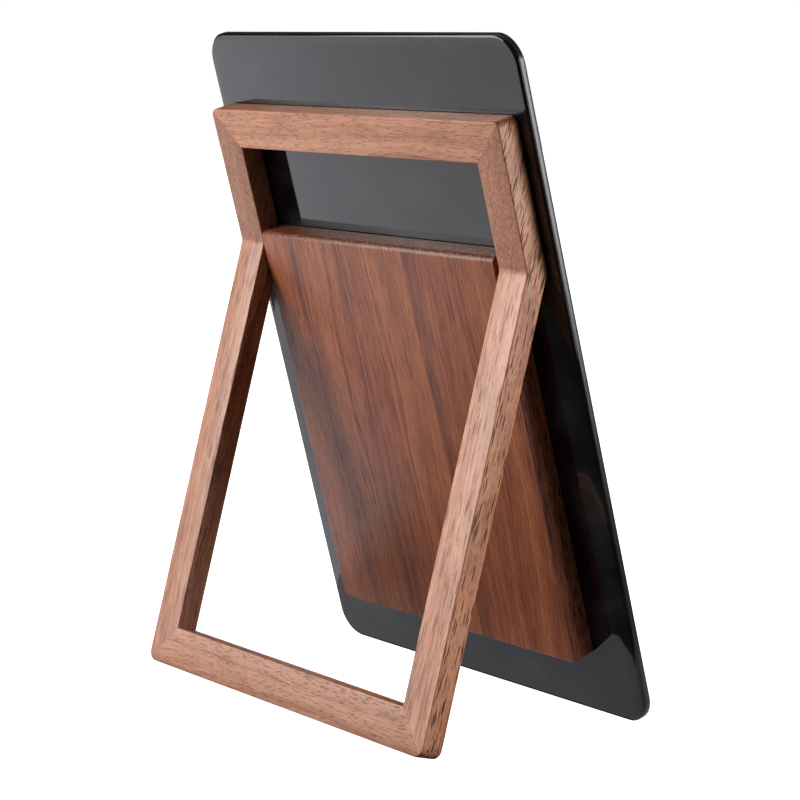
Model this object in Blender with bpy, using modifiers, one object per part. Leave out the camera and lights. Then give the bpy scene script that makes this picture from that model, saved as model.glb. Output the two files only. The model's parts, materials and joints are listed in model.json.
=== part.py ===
"""Digital photo frame: a thin display plate with a walnut housing and a bent walnut kick stand.

Metres, +Z up. The screen faces -Y and the stand is on the +Y side. The origin is the middle of the
object's footprint, on the table.

Every part is modelled in the plate's own frame, which leans back with the plate: X across, Y out of
the back panel, Z up the panel, with y = 0 on the panel's back face and z = 0 on its bottom edge.
The stand's parts hang on an empty on the hinge axis.
"""

import math

import bmesh
import bpy
from mathutils import Matrix, Vector

MM = 0.001

# ---------------------------------------------------------------- driving sizes
FIT = 0.3 * MM  # gap between pieces that touch
FILM = 0.2 * MM  # gap between the plate's bonded layers
GLUE = 0.3 * MM  # glue line in the mitres

PLATE_WIDTH = 200.0 * MM
PLATE_HEIGHT = 280.0 * MM
PLATE_CORNER = 12.0 * MM
RIM_WALL = 1.0 * MM  # metal that shows round the front glass
RIM_EDGE = 0.2 * MM  # broken edge of the rim
GLASS_THICKNESS = 0.7 * MM
CELL_THICKNESS = 0.5 * MM
BACKLIGHT_THICKNESS = 0.8 * MM
PANEL_THICKNESS = 1.0 * MM
PANEL_BEVEL = 0.9 * MM
DISPLAY_BORDER = 25.4 * MM  # plate edge to display module

HOUSING_BOTTOM = 27.5 * MM  # above the plate's bottom edge
HOUSING_TOP_MARGIN = 82.9 * MM  # below the plate's top edge
HOUSING_CORNER = 2.0 * MM  # the two lower corners
HOUSING_FILLET = 2.5 * MM  # rounded top edge at the back
HOUSING_ARRIS = 0.5 * MM  # its other eased edges
POCKET_CORNER = 1.0 * MM
HOUSING_SIDE_WALL = 5.0 * MM
HOUSING_TOP_WALL = 3.0 * MM
HOUSING_BOTTOM_WALL = 4.0 * MM
HOUSING_BACK_WALL = 3.0 * MM
PIN_HEAD_ROOM = 0.4 * MM  # pin head to the pocket's floor
TAPE_WIDTH = 1.8 * MM
TAPE_THICKNESS = 0.8 * MM

STAND_SIDE_MARGIN = 6.1 * MM  # plate edge to the stand's outer face
STAND_TOP_MARGIN = 30.0 * MM  # plate top to the stand's top
BAR_WIDTH = 16.5 * MM
BAR_DEPTH = 9.6 * MM
BEND = math.radians(31.0)
CREST_CORNER = 3.0 * MM
FOOT_CORNER = 4.5 * MM
ARRIS = 0.5 * MM  # eased edges of the stand
KINK_BLEND = 5.0 * MM  # radius inside the bend
FOLD_ROOM = 5.6 * MM  # housing bottom to the bottom rail, leg folded flat
DOWEL_RADIUS = 2.0 * MM
DOWEL_LENGTH = 11.4 * MM

PIVOT_DROP = 6.7 * MM  # housing top to the hinge axis
SIDE_GAP = 1.3 * MM  # housing side to bar
PIN_RADIUS = 1.7 * MM
PIN_IN_BAR = 8.4 * MM
PIN_HEAD_RADIUS = 2.5 * MM
PIN_HEAD = 1.2 * MM
BUSH_WALL = 0.8 * MM
WASHER_RADIUS = 3.8 * MM
WASHER_THICKNESS = 0.7 * MM
BRACKET_THICKNESS = 1.2 * MM
BRACKET_FOOT = 11.0 * MM
BRACKET_HALF_HEIGHT = 3.3 * MM

BOARD_WIDTH = 84.0 * MM
BOARD_HEIGHT = 60.0 * MM
BOARD_THICKNESS = 1.2 * MM
BOARD_LIFT = 2.1 * MM  # housing rim plane to the board's front face
BOARD_SIDE_ROOM = 5.1 * MM  # board edge to the pocket's side
BOARD_HOLE_INSET = 4.0 * MM
SCREW_RADIUS = 1.0 * MM
SCREW_HEAD_RADIUS = 2.0 * MM
SCREW_HEAD = 1.0 * MM
INSERT_DEPTH = 1.6 * MM
STANDOFF_RADIUS = 2.2 * MM

PORT_OFFSET = 4.0 * MM  # middle of the board to the middle of the port plate
PORT_WIDTH = 46.0 * MM
PORT_HEIGHT = 5.0 * MM
PORT_THICKNESS = 2.0 * MM
USB_SIZE = (8.9 * MM, 3.2 * MM, 7.3 * MM)
USB_X = 14.0 * MM  # from the middle of the port plate
CARD_SIZE = (14.0 * MM, 1.5 * MM, 14.5 * MM)
CARD_X = -1.0 * MM
BUTTON_X = -17.0 * MM
BUTTON_RADIUS = 1.7 * MM
BUTTON_FLANGE_RADIUS = 2.2 * MM
BUTTON_STANDOUT = 0.8 * MM
BUTTON_TRAVEL = 0.6 * MM
SWITCH_SIZE = (6.0 * MM, 3.2 * MM, 3.5 * MM)

SPEAKER_SIZE = (38.0 * MM, 4.0 * MM, 22.0 * MM)
SPEAKER_SIDE_ROOM = 6.1 * MM
SOUND_SLOT = (2.0 * MM, 3.0 * MM)
SOUND_SLOTS = 6
SOUND_PITCH = 4.5 * MM
SHIELD_SIZE = (28.0 * MM, 1.8 * MM, 24.0 * MM)
ANTENNA_SIZE = (36.0 * MM, 0.8 * MM, 7.0 * MM)
LEAD_RADIUS = 0.6 * MM
LEAD_STRAIGHT = 2.0 * MM  # at each end of a lead
LEAD_EASE = 6.0  # how far a lead keeps its direction, in straight ends
LEAD_STEPS = 14
RIBBON_WIDTH = 20.0 * MM
RIBBON_THICKNESS = 0.25 * MM
RIBBON_RISE = 20.0 * MM  # board top to the slot in the back panel
CONNECTOR_SIZE = (23.0 * MM, 1.2 * MM, 6.0 * MM)

# ---------------------------------------------------------------- sizes that follow
RIM_DEPTH = GLASS_THICKNESS + CELL_THICKNESS + BACKLIGHT_THICKNESS + 2 * FILM
PLATE_THICKNESS = RIM_DEPTH + FILM + PANEL_THICKNESS
DISPLAY_WIDTH = PLATE_WIDTH - 2 * DISPLAY_BORDER

STAND_HALF = PLATE_WIDTH / 2 - STAND_SIDE_MARGIN
HOUSING_HALF = STAND_HALF - BAR_WIDTH - SIDE_GAP
HOUSING_TOP = PLATE_HEIGHT - HOUSING_TOP_MARGIN
POCKET_HALF = HOUSING_HALF - HOUSING_SIDE_WALL
POCKET_BOTTOM = HOUSING_BOTTOM + HOUSING_BOTTOM_WALL
POCKET_TOP = HOUSING_TOP - HOUSING_TOP_WALL

HALF_DEPTH = BAR_DEPTH / 2
PIVOT = Vector((0.0, FIT + HALF_DEPTH, HOUSING_TOP - PIVOT_DROP))
HOUSING_FRONT = FIT
POCKET_FLOOR = PIVOT.y + PIN_HEAD_RADIUS + PIN_HEAD_ROOM
HOUSING_BACK = POCKET_FLOOR + HOUSING_BACK_WALL
UPPER_LENGTH = PLATE_HEIGHT - STAND_TOP_MARGIN - PIVOT.z
LEG_LENGTH = PIVOT.z - HOUSING_BOTTOM + FOLD_ROOM + BAR_WIDTH
UP = Vector((0.0, 0.0, 1.0))
LEG = Vector((0.0, math.sin(BEND), -math.cos(BEND)))
LEG_BACK = Vector((0.0, math.cos(BEND), math.sin(BEND)))

BUSH_BORE = PIN_RADIUS + FIT
BUSH_RADIUS = BUSH_BORE + BUSH_WALL
BOARD_FRONT = HOUSING_FRONT + BOARD_LIFT
BOARD_BACK = BOARD_FRONT + BOARD_THICKNESS
BOARD_BOTTOM = POCKET_BOTTOM + FIT
BOARD_TOP = BOARD_BOTTOM + BOARD_HEIGHT
BOARD_CENTRE = POCKET_HALF - BOARD_SIDE_ROOM - BOARD_WIDTH / 2
SPEAKER_X = SPEAKER_SIDE_ROOM + SPEAKER_SIZE[0] / 2 - POCKET_HALF
PORT_CENTRE = BOARD_CENTRE + PORT_OFFSET
PORT_Y = BOARD_BACK + FIT + USB_SIZE[1] / 2
PORT_TOP = HOUSING_BOTTOM + PORT_THICKNESS


def lean_and_shift():
    """The plate's lean, and the shift that puts the footprint's middle at the origin."""
    foot = PIVOT + LEG_LENGTH * LEG + (ARRIS - HALF_DEPTH) * LEG_BACK
    lean = math.atan2(foot.z, foot.y + PANEL_BEVEL)
    turn = Matrix.Rotation(-lean, 4, "X")
    heel = PIVOT + (LEG_LENGTH - ARRIS) * LEG + HALF_DEPTH * LEG_BACK
    back = (turn @ heel).y
    front = (turn @ Vector((0.0, -PLATE_THICKNESS, RIM_EDGE))).y
    ground = (turn @ foot).z
    return lean, Vector((0.0, -(front + back) / 2, -ground))


# ---------------------------------------------------------------- scene helpers
def empty_scene():
    for thing in list(bpy.data.objects):
        bpy.data.objects.remove(thing, do_unlink=True)


def new_collection(name):
    made = bpy.data.collections.new(name)
    bpy.context.scene.collection.children.link(made)
    return made


empty_scene()
PARTS = new_collection("digital_photo_frame")
CUTTERS = new_collection("cutters")


def new_empty(name, parent=None, location=(0, 0, 0), rotation=(0, 0, 0)):
    made = bpy.data.objects.new(name, None)
    made.empty_display_size = 0.02
    made.location = location
    made.rotation_euler = rotation
    made.parent = parent
    PARTS.objects.link(made)
    return made


LEAN, SHIFT = lean_and_shift()
PLATE = new_empty("plate_frame", location=SHIFT, rotation=(-LEAN, 0, 0))
STAND = new_empty("stand_pivot", parent=PLATE, location=PIVOT)


def new_material(name, colour, roughness, metallic=0.0):
    made = bpy.data.materials.new(name)
    made.use_nodes = True
    shader = made.node_tree.nodes["Principled BSDF"]
    shader.inputs["Base Color"].default_value = (*colour, 1.0)
    shader.inputs["Roughness"].default_value = roughness
    shader.inputs["Metallic"].default_value = metallic
    made.diffuse_color = (*colour, 1.0)
    return made


MATERIALS = {
    "stand_walnut": new_material("stand_walnut", (0.36, 0.19, 0.13), 0.5),
    "housing_walnut": new_material("housing_walnut", (0.17, 0.07, 0.045), 0.45),
    "black_gloss": new_material("black_gloss", (0.012, 0.012, 0.014), 0.08),
    "rim_metal": new_material("rim_metal", (0.16, 0.16, 0.17), 0.3, 0.6),
    "cover_glass": new_material("cover_glass", (0.01, 0.01, 0.012), 0.04),
    "display": new_material("display", (0.03, 0.03, 0.04), 0.2),
    "light_guide": new_material("light_guide", (0.75, 0.76, 0.78), 0.4),
    "board_green": new_material("board_green", (0.02, 0.13, 0.06), 0.4),
    "shield_tin": new_material("shield_tin", (0.65, 0.66, 0.67), 0.35, 1.0),
    "steel": new_material("steel", (0.55, 0.55, 0.56), 0.3, 1.0),
    "brass": new_material("brass", (0.75, 0.55, 0.25), 0.3, 1.0),
    "black_plastic": new_material("black_plastic", (0.02, 0.02, 0.022), 0.5),
    "washer_nylon": new_material("washer_nylon", (0.03, 0.03, 0.03), 0.5),
    "ribbon_film": new_material("ribbon_film", (0.55, 0.30, 0.06), 0.35),
    "tape_foam": new_material("tape_foam", (0.10, 0.10, 0.10), 0.8),
    "dowel_beech": new_material("dowel_beech", (0.62, 0.45, 0.28), 0.6),
}


def new_part(name, mesh, material, parent=PLATE):
    """A named sub-part on a mesh that is written in its parent's frame."""
    made = bpy.data.objects.new(name, mesh)
    mesh.materials.clear()
    mesh.materials.append(MATERIALS[material])
    made.parent = parent
    PARTS.objects.link(made)
    return made


def mesh_from(work, name="mesh"):
    bmesh.ops.recalc_face_normals(work, faces=work.faces[:])
    made = bpy.data.meshes.new(name)
    work.to_mesh(made)
    work.free()
    return made


def cut(target, mesh, operation="DIFFERENCE"):
    """Cut a part with a mesh written in the same frame, or join it on."""
    tool = bpy.data.objects.new(f"{target.name}_{operation.lower()}_{len(target.modifiers)}", mesh)
    tool.parent = target.parent
    tool.hide_render = True
    tool.display_type = "WIRE"
    CUTTERS.objects.link(tool)
    step = target.modifiers.new(operation.title(), "BOOLEAN")
    step.operation = operation
    step.solver = "EXACT"
    step.object = tool


# ---------------------------------------------------------------- shapes
def edges_where(work, test):
    """Edges whose two ends both pass the test."""
    return [edge for edge in work.edges if all(test(corner.co) for corner in edge.verts)]


def edges_along(work, axis):
    found = []
    for edge in work.edges:
        run = edge.verts[1].co - edge.verts[0].co
        if abs(run[axis]) > 0.999 * run.length:
            found.append(edge)
    return found


def sharp_edges(work):
    return [edge for edge in work.edges if edge.calc_face_angle(0.0) > math.radians(50)]


def bevel(work, edges, width, segments):
    bmesh.ops.bevel(
        work, geom=edges, offset=width, segments=segments, profile=0.5, affect="EDGES"
    )


def slab_work(low, high, corner=0.0, axis=1, segments=4):
    """A box between two corners, with the four edges along an axis rounded."""
    low = Vector(low)
    high = Vector(high)
    work = bmesh.new()
    bmesh.ops.create_cube(work, size=1.0)
    size = high - low
    bmesh.ops.scale(work, vec=size, verts=work.verts[:])
    bmesh.ops.translate(work, vec=(low + high) / 2, verts=work.verts[:])
    if corner > 0:
        bevel(work, edges_along(work, axis), corner, segments)
    return work


def slab(low, high, corner=0.0, axis=1, segments=4):
    return mesh_from(slab_work(low, high, corner, axis, segments))


def round_bar(centre, axis, radius, length, segments=24):
    """A cylinder about a centre, along an axis."""
    work = bmesh.new()
    bmesh.ops.create_cone(
        work,
        cap_ends=True,
        segments=segments,
        radius1=radius,
        radius2=radius,
        depth=length,
    )
    turn = Vector(axis).to_track_quat("Z", "Y").to_matrix().to_4x4()
    bmesh.ops.transform(work, matrix=Matrix.Translation(centre) @ turn, verts=work.verts[:])
    return work


def rod(centre, axis, radius, length, segments=24):
    return mesh_from(round_bar(centre, axis, radius, length, segments))


def rod_x(start, end, centre, radius, segments=24):
    """A cylinder along X from start to end, about a centre's y and z."""
    middle = Vector(((start + end) / 2, centre[1], centre[2]))
    return rod(middle, (1, 0, 0), radius, abs(end - start), segments)


def rod_y(start, end, x, z, radius, segments=16):
    return rod(Vector((x, (start + end) / 2, z)), (0, 1, 0), radius, end - start, segments)


def rod_z(start, end, x, y, radius, segments=20):
    return rod(Vector((x, y, (start + end) / 2)), (0, 0, 1), radius, end - start, segments)


def smooth(part, angle=35.0):
    part.data.shade_smooth()
    part.data.set_sharp_from_angle(angle=math.radians(angle))


def arc(centre, radius, start, end, steps):
    """Points of an arc from one angle to another, in a plane."""
    made = []
    for step in range(steps + 1):
        turn = start + (end - start) * step / steps
        made.append((centre[0] + radius * math.cos(turn), centre[1] + radius * math.sin(turn)))
    return made


def mesh_of_curve(data, matrix):
    """A curve's welded mesh, moved by a matrix. The curve is removed."""
    holder = bpy.data.objects.new("outline", data)
    bpy.context.scene.collection.objects.link(holder)
    evaluated = holder.evaluated_get(bpy.context.evaluated_depsgraph_get())
    raw = bpy.data.meshes.new_from_object(evaluated)
    bpy.data.objects.remove(holder)
    work = bmesh.new()
    work.from_mesh(raw)
    bpy.data.meshes.remove(raw)
    bmesh.ops.remove_doubles(work, verts=work.verts[:], dist=0.00001)
    bmesh.ops.transform(work, matrix=matrix, verts=work.verts[:])
    return work


def poly_curve(points, dimensions, closed):
    data = bpy.data.curves.new("outline", "CURVE")
    data.dimensions = dimensions
    spline = data.splines.new("POLY")
    spline.points.add(len(points) - 1)
    for place, point in zip(spline.points, points):
        place.co = (point[0], point[1], point[2] if len(point) > 2 else 0.0, 1.0)
    spline.use_cyclic_u = closed
    return data


YZ_OUTLINE = Matrix(((0, 0, 1, 0), (1, 0, 0, 0), (0, 1, 0, 0), (0, 0, 0, 1)))


# ---------------------------------------------------------------- plate
def plate_slab(front, back, inset=0.0):
    """A slab of the plate's outline, drawn in by an inset."""
    half = PLATE_WIDTH / 2 - inset
    return slab_work(
        (-half, front, inset),
        (half, back, PLATE_HEIGHT - inset),
        corner=PLATE_CORNER - inset,
        segments=8,
    )


def display_slab(front, back, room=0.0):
    half = DISPLAY_WIDTH / 2 + room
    low = DISPLAY_BORDER - room
    return slab((-half, front, low), (half, back, PLATE_HEIGHT - low))


def make_plate():
    front = -PLATE_THICKNESS
    glass_back = front + GLASS_THICKNESS
    cell_front = glass_back + FILM
    light_front = cell_front + CELL_THICKNESS + FILM
    rim_back = front + RIM_DEPTH

    glass_inset = RIM_WALL + FILM
    new_part(
        "front_glass", mesh_from(plate_slab(front, glass_back, glass_inset)), "cover_glass"
    )
    new_part(
        "lcd_panel", display_slab(cell_front, cell_front + CELL_THICKNESS), "display"
    )
    new_part(
        "backlight_unit",
        display_slab(light_front, light_front + BACKLIGHT_THICKNESS),
        "light_guide",
    )

    work = plate_slab(front, rim_back)
    bevel(work, edges_where(work, lambda co: co.y < front + FILM / 2), RIM_EDGE, 1)
    rim = new_part("mid_frame", mesh_from(work), "rim_metal")
    cut(rim, mesh_from(plate_slab(front - RIM_WALL, glass_back + FILM, RIM_WALL)))
    cut(rim, display_slab(front, rim_back + RIM_WALL, room=FIT))

    work = plate_slab(-PANEL_THICKNESS, 0.0)
    bevel(work, edges_where(work, lambda co: co.y > -FILM), PANEL_BEVEL, 1)
    panel = new_part("back_panel", mesh_from(work), "black_gloss")
    slot = RIBBON_WIDTH / 2 + FIT
    slot_z = BOARD_TOP + RIBBON_RISE
    half_slot = RIBBON_THICKNESS / 2 + 2 * FIT
    cut(
        panel,
        slab(
            (BOARD_CENTRE - slot, -2 * PANEL_THICKNESS, slot_z - half_slot),
            (BOARD_CENTRE + slot, PANEL_THICKNESS, slot_z + half_slot),
        ),
    )


# ---------------------------------------------------------------- housing
def hinge_ends(side):
    """The x of the housing's side, the pocket's side and the bar's inner face."""
    return side * HOUSING_HALF, side * POCKET_HALF, side * (STAND_HALF - BAR_WIDTH)


def tape_outline(room):
    """Half width, bottom and top of the tape ring's centre line, grown by room."""
    inset = HOUSING_TOP_WALL / 2
    return HOUSING_HALF - inset + room, HOUSING_BOTTOM + inset - room, HOUSING_TOP - inset + room


def tape_ring(front, back, width):
    half, low, high = tape_outline(width / 2)
    ring = slab((-half, front, low), (half, back, high))
    half, low, high = tape_outline(-width / 2)
    hole = slab((-half, front - FIT, low), (half, back + FIT, high))
    return ring, hole


def ring_mesh(front, back, width):
    """The tape ring as a mesh: a slab with a smaller slab cut out of it."""
    ring, hole = tape_ring(front, back, width)
    holder = bpy.data.objects.new("ring", ring)
    tool = bpy.data.objects.new("ring_hole", hole)
    for thing in (holder, tool):
        bpy.context.scene.collection.objects.link(thing)
    step = holder.modifiers.new("Hole", "BOOLEAN")
    step.operation = "DIFFERENCE"
    step.solver = "EXACT"
    step.object = tool
    graph = bpy.context.evaluated_depsgraph_get()
    made = bpy.data.meshes.new_from_object(holder.evaluated_get(graph))
    bpy.data.objects.remove(holder)
    bpy.data.objects.remove(tool)
    return made


def board_hole_places():
    half = BOARD_WIDTH / 2 - BOARD_HOLE_INSET
    places = []
    for z in (BOARD_BOTTOM + 2 * BOARD_HOLE_INSET, BOARD_TOP - BOARD_HOLE_INSET):
        for x in (BOARD_CENTRE - half, BOARD_CENTRE + half):
            places.append((x, z))
    return places


def make_housing():
    work = slab_work(
        (-HOUSING_HALF, HOUSING_FRONT, HOUSING_BOTTOM),
        (HOUSING_HALF, HOUSING_BACK, HOUSING_TOP),
    )
    top = edges_where(work, lambda co: co.y > HOUSING_BACK - FIT and co.z > HOUSING_TOP - FIT)
    bevel(work, top, HOUSING_FILLET, 5)
    through = edges_along(work, 1)
    lower = [edge for edge in through if edge.verts[0].co.z < HOUSING_BOTTOM + FIT]
    bevel(work, lower, HOUSING_CORNER, 4)
    behind = HOUSING_FRONT + FIT
    rim = [edge for edge in sharp_edges(work) if any(end.co.y > behind for end in edge.verts)]
    bevel(work, rim, HOUSING_ARRIS, 2)
    housing = new_part("housing", mesh_from(work), "housing_walnut")
    smooth(housing)
    cut(
        housing,
        slab(
            (-POCKET_HALF, HOUSING_FRONT - FIT, POCKET_BOTTOM),
            (POCKET_HALF, POCKET_FLOOR, POCKET_TOP),
            corner=POCKET_CORNER,
        ),
    )
    groove_back = HOUSING_FRONT + TAPE_THICKNESS + FIT
    cut(housing, ring_mesh(HOUSING_FRONT - FIT, groove_back, TAPE_WIDTH))

    for side in (-1, 1):
        outer, inner, _ = hinge_ends(side)
        reach = side * FIT
        cut(housing, rod_x(inner - reach, outer + reach, PIVOT, BUSH_RADIUS + FIT))
        x, z = bracket_screw_place(side)
        cut(housing, rod_y(POCKET_FLOOR - FIT, screw_tip() + FIT, x, z, SCREW_RADIUS + FIT))
    for x, z in board_hole_places():
        depth = POCKET_FLOOR + INSERT_DEPTH + FIT
        cut(housing, rod_y(POCKET_FLOOR - FIT, depth, x, z, STANDOFF_RADIUS + FIT))

    half = PORT_WIDTH / 2 + FIT
    tall = PORT_HEIGHT / 2 + FIT
    cut(
        housing,
        slab(
            (PORT_CENTRE - half, PORT_Y - tall, HOUSING_BOTTOM - FIT),
            (PORT_CENTRE + half, PORT_Y + tall, POCKET_BOTTOM + FIT),
            corner=tall / 2,
            axis=2,
        ),
    )
    wide, high = SOUND_SLOT
    for count in range(SOUND_SLOTS):
        x = SPEAKER_X + (count - (SOUND_SLOTS - 1) / 2) * SOUND_PITCH
        cut(
            housing,
            slab(
                (x - wide / 2, PORT_Y - high / 2, HOUSING_BOTTOM - FIT),
                (x + wide / 2, PORT_Y + high / 2, POCKET_BOTTOM + FIT),
                corner=wide / 3,
                axis=2,
                segments=3,
            ),
        )
    new_part(
        "housing_tape",
        ring_mesh(HOUSING_FRONT, HOUSING_FRONT + TAPE_THICKNESS, TAPE_WIDTH - 2 * FIT),
        "tape_foam",
    )


# ---------------------------------------------------------------- electronics
def make_board():
    half = BOARD_WIDTH / 2
    board = new_part(
        "main_board",
        slab(
            (BOARD_CENTRE - half, BOARD_FRONT, BOARD_BOTTOM),
            (BOARD_CENTRE + half, BOARD_BACK, BOARD_TOP),
            corner=FIT * 3,
            segments=2,
        ),
        "board_green",
    )
    for number, (x, z) in enumerate(board_hole_places(), 1):
        cut(board, rod_y(BOARD_FRONT - FIT, BOARD_BACK + FIT, x, z, SCREW_RADIUS + FIT))
        top = BOARD_BACK + FIT
        standoff = new_part(
            f"standoff_{number}",
            rod_y(top, POCKET_FLOOR + INSERT_DEPTH, x, z, STANDOFF_RADIUS),
            "brass",
        )
        smooth(standoff)
        screw_end = POCKET_FLOOR - FIT
        cut(standoff, rod_y(top - FIT, screw_end + FIT, x, z, SCREW_RADIUS + FIT))
        head_back = BOARD_FRONT - FIT
        screw = new_part(
            f"board_screw_{number}",
            rod_y(head_back - SCREW_HEAD, head_back, x, z, SCREW_HEAD_RADIUS),
            "steel",
        )
        smooth(screw)
        cut(screw, rod_y(head_back - FIT, screw_end, x, z, SCREW_RADIUS), "UNION")

    wide, deep, tall = SHIELD_SIZE
    low = BOARD_BOTTOM + BOARD_HEIGHT / 2 - deep
    new_part(
        "processor_shield",
        slab(
            (BOARD_CENTRE - wide / 2, BOARD_BACK + FIT, low),
            (BOARD_CENTRE + wide / 2, BOARD_BACK + FIT + deep, low + tall),
            corner=FIT * 3,
            segments=2,
        ),
        "shield_tin",
    )


def make_ribbon():
    wide, deep, tall = CONNECTOR_SIZE
    back = BOARD_FRONT - FIT
    top = BOARD_TOP - FIT
    new_part(
        "ribbon_connector",
        slab(
            (BOARD_CENTRE - wide / 2, back - deep, top - tall),
            (BOARD_CENTRE + wide / 2, back, top),
        ),
        "black_plastic",
    )
    run = back - deep / 2
    bend = run / 2
    slot_z = BOARD_TOP + RIBBON_RISE
    path = [(-PANEL_THICKNESS, slot_z), (run - bend, slot_z)]
    path += arc((run - bend, slot_z - bend), bend, math.pi / 2, 0.0, 4)[1:]
    path += [(run, top + FIT)]
    data = poly_curve(path, "3D", False)
    data.extrude = RIBBON_WIDTH / 2
    across = Matrix.Translation((BOARD_CENTRE, 0, 0)) @ YZ_OUTLINE
    ribbon = new_part("lcd_ribbon", mesh_from(mesh_of_curve(data, across)), "ribbon_film")
    step = ribbon.modifiers.new("Thickness", "SOLIDIFY")
    step.thickness = RIBBON_THICKNESS
    step.offset = 0.0


def make_ports():
    half = PORT_WIDTH / 2
    tall = PORT_HEIGHT / 2
    plate = new_part(
        "port_plate",
        slab(
            (PORT_CENTRE - half, PORT_Y - tall, HOUSING_BOTTOM),
            (PORT_CENTRE + half, PORT_Y + tall, PORT_TOP),
            corner=tall / 2,
            axis=2,
        ),
        "black_plastic",
    )
    below = HOUSING_BOTTOM - FIT
    above = PORT_TOP + FIT
    socket_low = PORT_TOP + FIT

    wide, deep, long = USB_SIZE
    x = PORT_CENTRE + USB_X
    y = BOARD_BACK + FIT + deep / 2
    opening = (wide / 2 + FIT / 2, deep / 2 + FIT / 2)
    cut(
        plate,
        slab(
            (x - opening[0], y - opening[1], below),
            (x + opening[0], y + opening[1], above),
            corner=deep / 2 - FIT,
            axis=2,
        ),
    )
    socket = new_part(
        "usb_socket",
        slab(
            (x - wide / 2, y - deep / 2, socket_low),
            (x + wide / 2, y + deep / 2, socket_low + long),
            corner=deep / 2 - FIT,
            axis=2,
        ),
        "steel",
    )
    smooth(socket)
    wall = FIT
    cut(
        socket,
        slab(
            (x - wide / 2 + wall, y - deep / 2 + wall, socket_low - FIT),
            (x + wide / 2 - wall, y + deep / 2 - wall, socket_low + long - 4 * wall),
            corner=deep / 2 - 2 * FIT,
            axis=2,
        ),
    )
    tongue = deep / 9
    cut(
        socket,
        slab(
            (x - wide * 0.37, y - tongue, socket_low + 2 * FIT),
            (x + wide * 0.37, y + tongue, socket_low + long - 2 * wall),
        ),
        "UNION",
    )

    wide, deep, long = CARD_SIZE
    x = PORT_CENTRE + CARD_X
    y = BOARD_BACK + FIT + deep / 2
    mouth = wide / 2 - 4 * FIT
    cut(
        plate,
        slab((x - mouth, y - deep / 2, below), (x + mouth, y + deep / 2, above)),
    )
    slot = new_part(
        "card_slot",
        slab(
            (x - wide / 2, y - deep / 2, socket_low),
            (x + wide / 2, y + deep / 2, socket_low + long),
        ),
        "shield_tin",
    )
    lip = deep / 5
    cut(
        slot,
        slab(
            (x - mouth, y - deep / 2 + lip, socket_low - FIT),
            (x + mouth, y + deep / 2 - lip, socket_low + long - 3 * deep),
        ),
    )

    make_button(plate)


def make_button(plate):
    wide, deep, tall = SWITCH_SIZE
    x = PORT_CENTRE + BUTTON_X
    y = BOARD_BACK + FIT + deep / 2
    cut(
        plate,
        rod_z(HOUSING_BOTTOM - FIT, PORT_TOP + FIT, x, y, BUTTON_RADIUS + FIT),
    )
    flange_low = PORT_TOP + FIT
    flange_high = flange_low + 2 * FIT
    axis_empty = new_empty("button_axis", parent=PLATE, location=(x, y, HOUSING_BOTTOM))
    tip = HOUSING_BOTTOM - BUTTON_STANDOUT
    work = round_bar(
        Vector((0, 0, (tip + flange_high) / 2 - HOUSING_BOTTOM)),
        (0, 0, 1),
        BUTTON_RADIUS,
        flange_high - tip,
        24,
    )
    bevel(work, edges_where(work, lambda co: co.z < 0), FIT, 2)
    button = new_part("power_button", mesh_from(work), "black_plastic", axis_empty)
    smooth(button)
    flange = rod_z(
        flange_low - HOUSING_BOTTOM,
        flange_high - HOUSING_BOTTOM + FIT / 2,
        0,
        0,
        BUTTON_FLANGE_RADIUS,
    )
    cut(button, flange, "UNION")

    nose_low = flange_high + FIT / 2 + BUTTON_TRAVEL + FIT
    body_low = nose_low + 2 * FIT
    switch = new_part(
        "button_switch",
        slab(
            (x - wide / 2, y - deep / 2, body_low),
            (x + wide / 2, y + deep / 2, body_low + tall),
        ),
        "shield_tin",
    )
    cut(switch, rod_z(nose_low, body_low + FIT, x, y, deep / 4), "UNION")


def lead(name, points):
    """A thin lead along a smooth line through a few points, straight at its two ends."""
    data = bpy.data.curves.new(name, "CURVE")
    data.dimensions = "3D"
    data.bevel_depth = LEAD_RADIUS
    data.bevel_resolution = 2
    data.use_fill_caps = True
    first, second, third, last = points
    smoothed = [first]
    for step in range(LEAD_STEPS + 1):
        smoothed.append(spline_point(first, second, third, last, step / LEAD_STEPS))
    smoothed.append(last)
    run = data.splines.new("POLY")
    run.points.add(len(smoothed) - 1)
    for place, point in zip(run.points, smoothed):
        place.co = (*point, 1.0)
    new_part(name, mesh_from(mesh_of_curve(data, Matrix())), "black_plastic")


def spline_point(before, start, end, after, t):
    """A point between start and end on a curve that leaves and arrives along the straight ends."""
    leave = (start - before) * LEAD_EASE
    arrive = (after - end) * LEAD_EASE
    return (
        start * (1 + 2 * t) * (1 - t) ** 2
        + leave * t * (1 - t) ** 2
        + end * t * t * (3 - 2 * t)
        + arrive * t * t * (t - 1)
    )


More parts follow.
